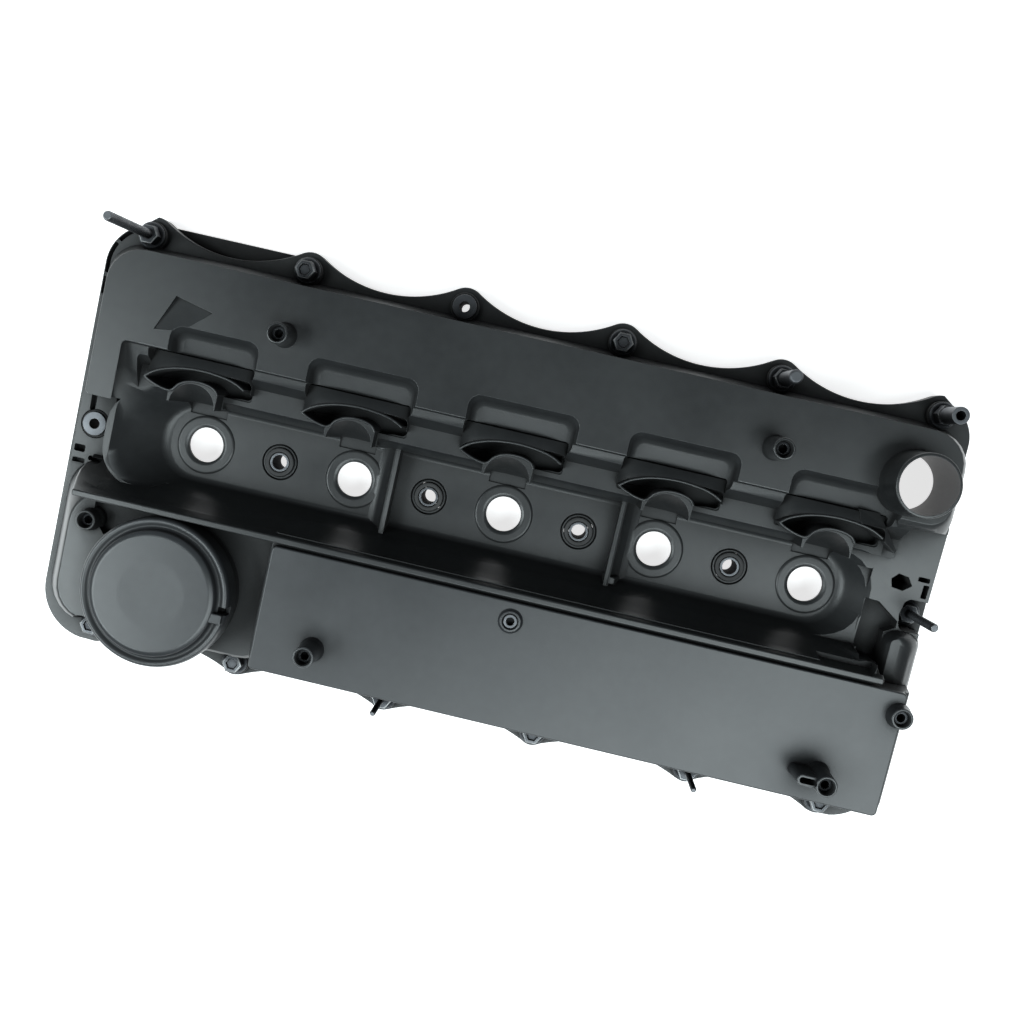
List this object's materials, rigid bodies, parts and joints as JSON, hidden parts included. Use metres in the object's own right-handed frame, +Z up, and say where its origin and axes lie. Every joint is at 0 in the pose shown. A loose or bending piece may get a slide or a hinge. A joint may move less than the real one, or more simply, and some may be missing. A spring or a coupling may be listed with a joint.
{
  "type": "cylinder head cover",
  "caption": "Black moulded cover for an inline engine's cylinder head, with a scalloped flange, an injector valley, a round vent housing, a separator lid and an oil filler neck.",
  "frame": {"origin": "centre of the outline, at the gasket's foot", "axes": "+X along the engine from the vent housing to the oil filler, +Y to the scalloped side, +Z up"},
  "size_m": [0.55, 0.274, 0.09],
  "materials": {
    "nylon": "satin moulded glass-filled nylon, near black",
    "lid_nylon": "satin moulded glass-filled nylon, a shade lighter",
    "rubber": "matt black moulded rubber",
    "silicone": "matt black-brown silicone",
    "steel": "dark zinc-plated steel",
    "spring_steel": "bright drawn wire"
  },
  "bodies": {
    "cover": {"back_bolt_2": "steel", "back_bolt_4": "steel", "back_isolator_1": "rubber", "back_isolator_2": "rubber", "back_isolator_3": "rubber", "back_isolator_4": "rubber", "back_isolator_5": "rubber", "back_isolator_6": "rubber", "back_sleeve_3": "steel", "back_stud_1": "steel", "back_stud_5": "steel", "back_stud_6": "steel", "centre_isolator_1": "rubber", "centre_isolator_2": "rubber", "centre_isolator_3": "rubber", "centre_isolator_4": "rubber", "centre_sleeve_1": "steel", "centre_sleeve_2": "steel", "centre_sleeve_3": "steel", "centre_sleeve_4": "steel", "corner_bolt": "steel", "corner_isolator": "rubber", "cover_shell": "nylon", "front_bolt_1": "steel", "front_bolt_3": "steel", "front_bolt_5": "steel", "front_isolator_1": "rubber", "front_isolator_2": "rubber", "front_isolator_3": "rubber", "front_isolator_4": "rubber", "front_isolator_5": "rubber", "front_stud_2": "steel", "front_stud_4": "steel", "injector_seal_1": "silicone", "injector_seal_2": "silicone", "injector_seal_3": "silicone", "injector_seal_4": "silicone", "injector_seal_5": "silicone", "left_isolator": "rubber", "left_sleeve": "steel", "perimeter_gasket": "rubber", "post_insert_1": "steel", "post_insert_2": "steel", "post_insert_3": "steel", "post_insert_4": "steel", "post_insert_5": "steel", "post_insert_6": "steel", "post_insert_7": "steel", "right_isolator": "rubber", "right_stud": "steel", "separator_baffle": "nylon", "separator_lid": "lid_nylon", "vent_cap": "lid_nylon", "vent_diaphragm": "rubber", "vent_spring": "spring_steel"},
    "vent_valve": {"vent_valve_plate": "nylon"}
  },
  "joints": [
    {"name": "vent_valve_slide", "type": "slide", "parent": "cover", "child": "vent_valve", "axis": [0, 0, 1], "range_m": [-0.003, 0], "stiffness_N_per_m": 200, "springref_m": 0.001, "deforming": ["vent_spring", "vent_diaphragm"]}
  ]
}
